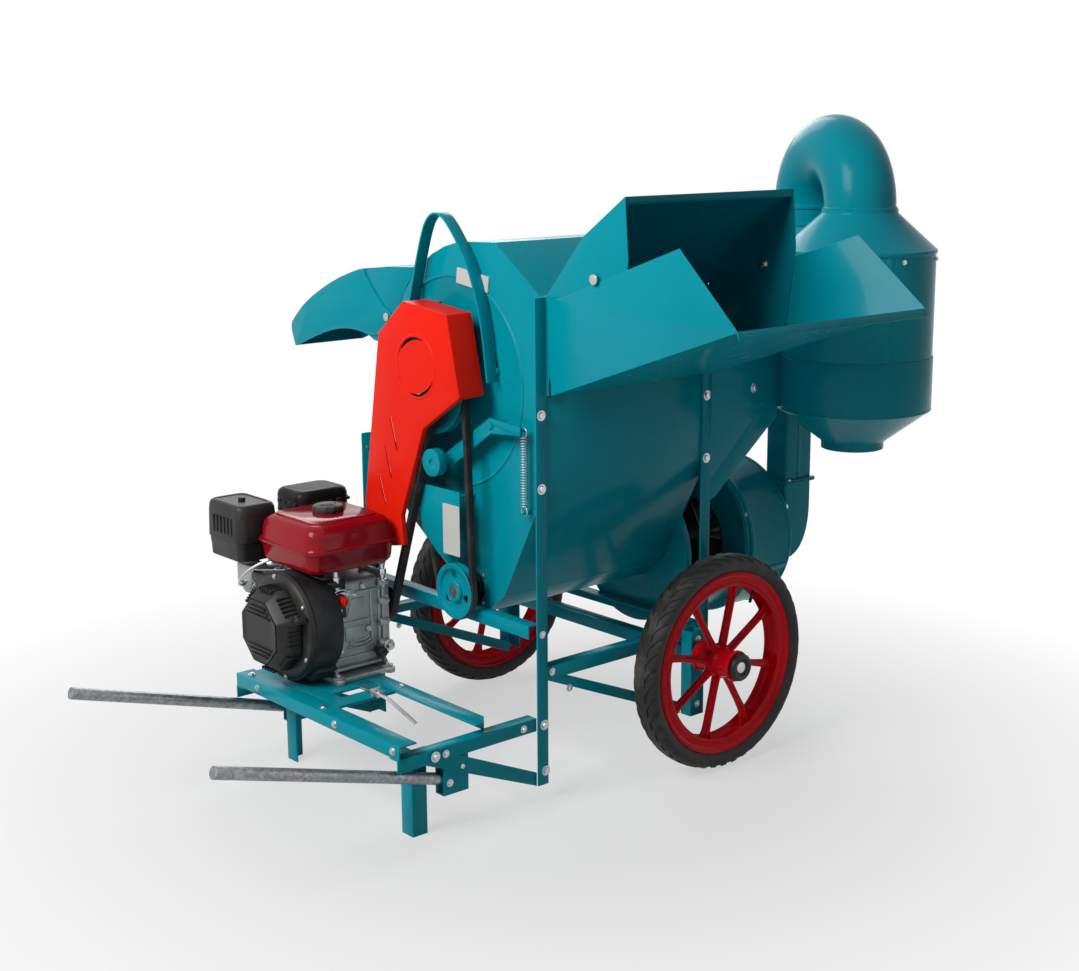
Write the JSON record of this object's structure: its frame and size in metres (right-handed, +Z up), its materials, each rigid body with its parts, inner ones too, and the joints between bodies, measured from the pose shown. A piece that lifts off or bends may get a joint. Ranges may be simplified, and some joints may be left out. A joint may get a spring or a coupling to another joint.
{
  "type": "multi-crop thresher",
  "caption": "Two-wheeled engine-driven crop thresher: spiked drum, feed hopper and folding tray, straw chute, grain blower and cyclone.",
  "frame": {"origin": "middle of the outline's box, on the ground", "axes": "+X along the drum shaft from the engine to the cyclone, -Y towards the person feeding it, +Z up"},
  "size_m": [1.5786, 1.2755, 1.2347],
  "materials": {
    "teal_paint": "gloss",
    "red_paint": "gloss",
    "dark_red_paint": "gloss",
    "galvanized_steel": "satin",
    "bright_steel": "satin",
    "tyre_rubber": "matte",
    "belt_rubber": "matte",
    "black_plastic": "matte",
    "black_paint": "satin",
    "aluminium": "matte",
    "red_plastic": "gloss"
  },
  "bodies": {
    "machine": {"air_cleaner": "black_plastic", "axle": "teal_paint", "axle_carriers": "teal_paint", "axle_nuts": "black_plastic", "belt_guard": "red_paint", "blower_casing": "teal_paint", "body_rails": "teal_paint", "carburettor": "black_plastic", "concave": "teal_paint", "corner_posts": "teal_paint", "cyclone_band": "teal_paint", "cyclone_body": "teal_paint", "cyclone_pipe": "teal_paint", "end_panel_left": "teal_paint", "end_panel_right": "teal_paint", "engine_block": "aluminium", "engine_frame": "teal_paint", "fan_belt": "belt_rubber", "fan_belt_cover": "teal_paint", "fan_shroud": "black_plastic", "feed_hopper": "teal_paint", "frame_legs_and_sockets": "teal_paint", "front_panel": "teal_paint", "fuel_tank": "dark_red_paint", "guard_hoop": "teal_paint", "hood": "teal_paint", "idler_pins": "teal_paint", "main_belt": "belt_rubber", "muffler": "black_paint", "pivot_bolts": "galvanized_steel", "recoil_cover": "black_plastic", "riser_duct": "teal_paint", "shaft_bearings": "black_paint", "straw_chute": "teal_paint", "suction_drum": "teal_paint", "tension_spring": "galvanized_steel", "trough_panel": "teal_paint"},
    "near_wheel": {"near_wheel": "dark_red_paint", "near_tyre": "tyre_rubber"},
    "far_wheel": {"far_wheel": "dark_red_paint", "far_tyre": "tyre_rubber"},
    "drum_rotor": {"drum_shaft": "bright_steel", "threshing_drum": "bright_steel", "drum_pulley": "teal_paint", "fan_drive_pulley": "teal_paint"},
    "engine_output": {"engine_pulley": "black_paint"},
    "blower_rotor": {"auger_shaft": "bright_steel", "blower_impeller": "bright_steel", "blower_pulley": "teal_paint"},
    "feed_tray": {"feed_tray": "teal_paint"},
    "straw_deflector": {"straw_deflector": "teal_paint"},
    "near_handle": {"near_handle": "galvanized_steel"},
    "far_handle": {"far_handle": "galvanized_steel"},
    "idler_arm": {"idler_arm": "teal_paint"},
    "fuel_cap": {"fuel_cap": "black_plastic"},
    "oil_dipstick": {"oil_dipstick": "black_plastic"},
    "throttle_lever": {"throttle_lever": "black_paint"},
    "engine_switch": {"engine_switch": "red_plastic"},
    "starter_grip": {"starter_grip": "black_plastic"}
  },
  "joints": [
    {"name": "near_wheel_spin", "type": "hinge", "parent": "machine", "child": "near_wheel", "pos_m": [0.2583, -0.2657, 0.21], "axis": [0, 1, 0], "continuous": true},
    {"name": "far_wheel_spin", "type": "hinge", "parent": "machine", "child": "far_wheel", "pos_m": [0.2583, 0.4343, 0.21], "axis": [0, 1, 0], "continuous": true},
    {"name": "drum_spin", "type": "hinge", "parent": "machine", "child": "drum_rotor", "pos_m": [0.1023, 0.0843, 0.753], "axis": [1, 0, 0], "continuous": true},
    {"name": "engine_spin", "type": "hinge", "parent": "machine", "child": "engine_output", "pos_m": [-0.1707, 0.2323, 0.302], "axis": [1, 0, 0], "continuous": true},
    {"name": "blower_spin", "type": "hinge", "parent": "machine", "child": "blower_rotor", "pos_m": [0.2583, 0.0263, 0.366], "axis": [1, 0, 0], "continuous": true},
    {"name": "tray_fold", "type": "hinge", "parent": "machine", "child": "feed_tray", "pos_m": [0.1023, -0.3137, 0.967], "axis": [-1, 0, 0], "range_deg": [0, 80]},
    {"name": "deflector_tilt", "type": "hinge", "parent": "machine", "child": "straw_deflector", "pos_m": [-0.0237, 0.2843, 0.856], "axis": [1, 0, 0], "range_deg": [0, 25]},
    {"name": "near_handle_slide", "type": "slide", "parent": "machine", "child": "near_handle", "axis": [-0.9593, 0, 0.2823], "range_m": [0, 0.05]},
    {"name": "far_handle_slide", "type": "slide", "parent": "machine", "child": "far_handle", "axis": [-0.9593, 0, 0.2823], "range_m": [0, 0.05]},
    {"name": "idler_swing", "type": "hinge", "parent": "machine", "child": "idler_arm", "pos_m": [-0.1337, -0.0657, 0.69], "axis": [1, 0, 0], "range_deg": [-6, 0], "deforming": ["tension_spring"]},
    {"name": "fuel_cap_lift", "type": "slide", "parent": "machine", "child": "fuel_cap", "axis": [0, 0, 1], "range_m": [0, 0.03]},
    {"name": "dipstick_pull", "type": "slide", "parent": "machine", "child": "oil_dipstick", "axis": [0, -1, 0], "range_m": [0, 0.05]},
    {"name": "throttle_swing", "type": "hinge", "parent": "machine", "child": "throttle_lever", "pos_m": [-0.3732, 0.1723, 0.4065], "axis": [0, 0, 1], "range_deg": [-20, 20]},
    {"name": "engine_switch_turn", "type": "hinge", "parent": "machine", "child": "engine_switch", "pos_m": [-0.3197, 0.1533, 0.35], "axis": [0, 1, 0], "range_deg": [0, 60]},
    {"name": "starter_pull", "type": "slide", "parent": "machine", "child": "starter_grip", "axis": [0, -1, 0], "range_m": [0, 0.3]}
  ],
  "couplings": [
    {"joint": "engine_spin", "follows": "drum_spin", "ratio": 1.2941},
    {"joint": "blower_spin", "follows": "drum_spin", "ratio": 1.7736}
  ]
}
